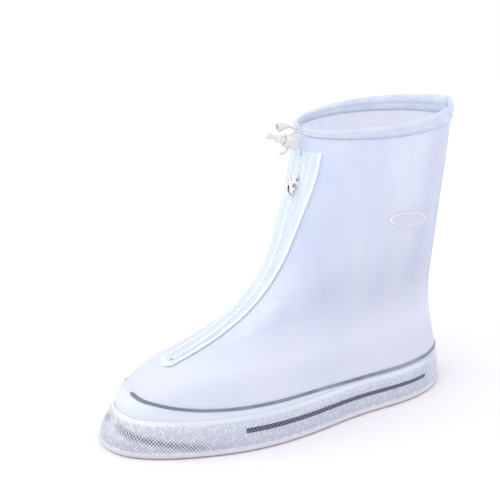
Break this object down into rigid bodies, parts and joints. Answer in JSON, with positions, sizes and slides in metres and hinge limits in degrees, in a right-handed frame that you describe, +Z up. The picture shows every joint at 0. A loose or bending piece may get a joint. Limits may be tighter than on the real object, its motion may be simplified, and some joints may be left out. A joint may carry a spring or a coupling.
{
  "type": "waterproof shoe cover",
  "caption": "Boot-height waterproof shoe cover of translucent film, with a front zip, a drawstring hem with a cord lock, a knurled sole wall and a thin outsole.",
  "frame": {"origin": "middle of the bounding box in plan, on the floor under the outsole", "axes": "+Z up, +Y towards the heel and -Y towards the toe, +X towards the outer side of the left foot"},
  "size_m": [0.1202, 0.3168, 0.24],
  "materials": {
    "film": "frosted translucent",
    "zip_band": "milky translucent",
    "zip_teeth": "matte",
    "sole_wall": "knurled clear grey",
    "outsole": "matte tan",
    "grey_line": "matte",
    "dark_strip": "matte",
    "badge": "clear raised",
    "cord": "braided",
    "zip_metal": "dark silver",
    "white_plastic": "satin"
  },
  "bodies": {
    "cover": {"outsole": "outsole", "sole_cup": "sole_wall", "bond_line": "grey_line", "side_strip_outer": "dark_strip", "side_strip_inner": "dark_strip", "upper_outer": "film", "upper_inner": "film", "zip_tape_outer": "zip_band", "zip_tape_inner": "zip_band", "zip_chain": "zip_teeth", "hem_channel": "film", "side_badge": "badge", "drawcord": "cord", "zip_slider": "zip_metal", "cord_lock_body": "white_plastic", "cord_end": "white_plastic"},
    "pull": {"zip_pull": "zip_metal"},
    "button": {"cord_lock_button": "white_plastic"}
  },
  "joints": [
    {"name": "zip_pull_hinge", "type": "hinge", "parent": "cover", "child": "pull", "pos_m": [0.00137, 0.00529, 0.19152], "axis": [-0.9959, -0.0876, 0.0205], "range_deg": [0, 165]},
    {"name": "cord_lock_push", "type": "slide", "parent": "cover", "child": "button", "axis": [0, 0.9336, -0.3584], "range_m": [0, 0.002], "stiffness_N_per_m": 100, "springref_m": -0.004}
  ]
}
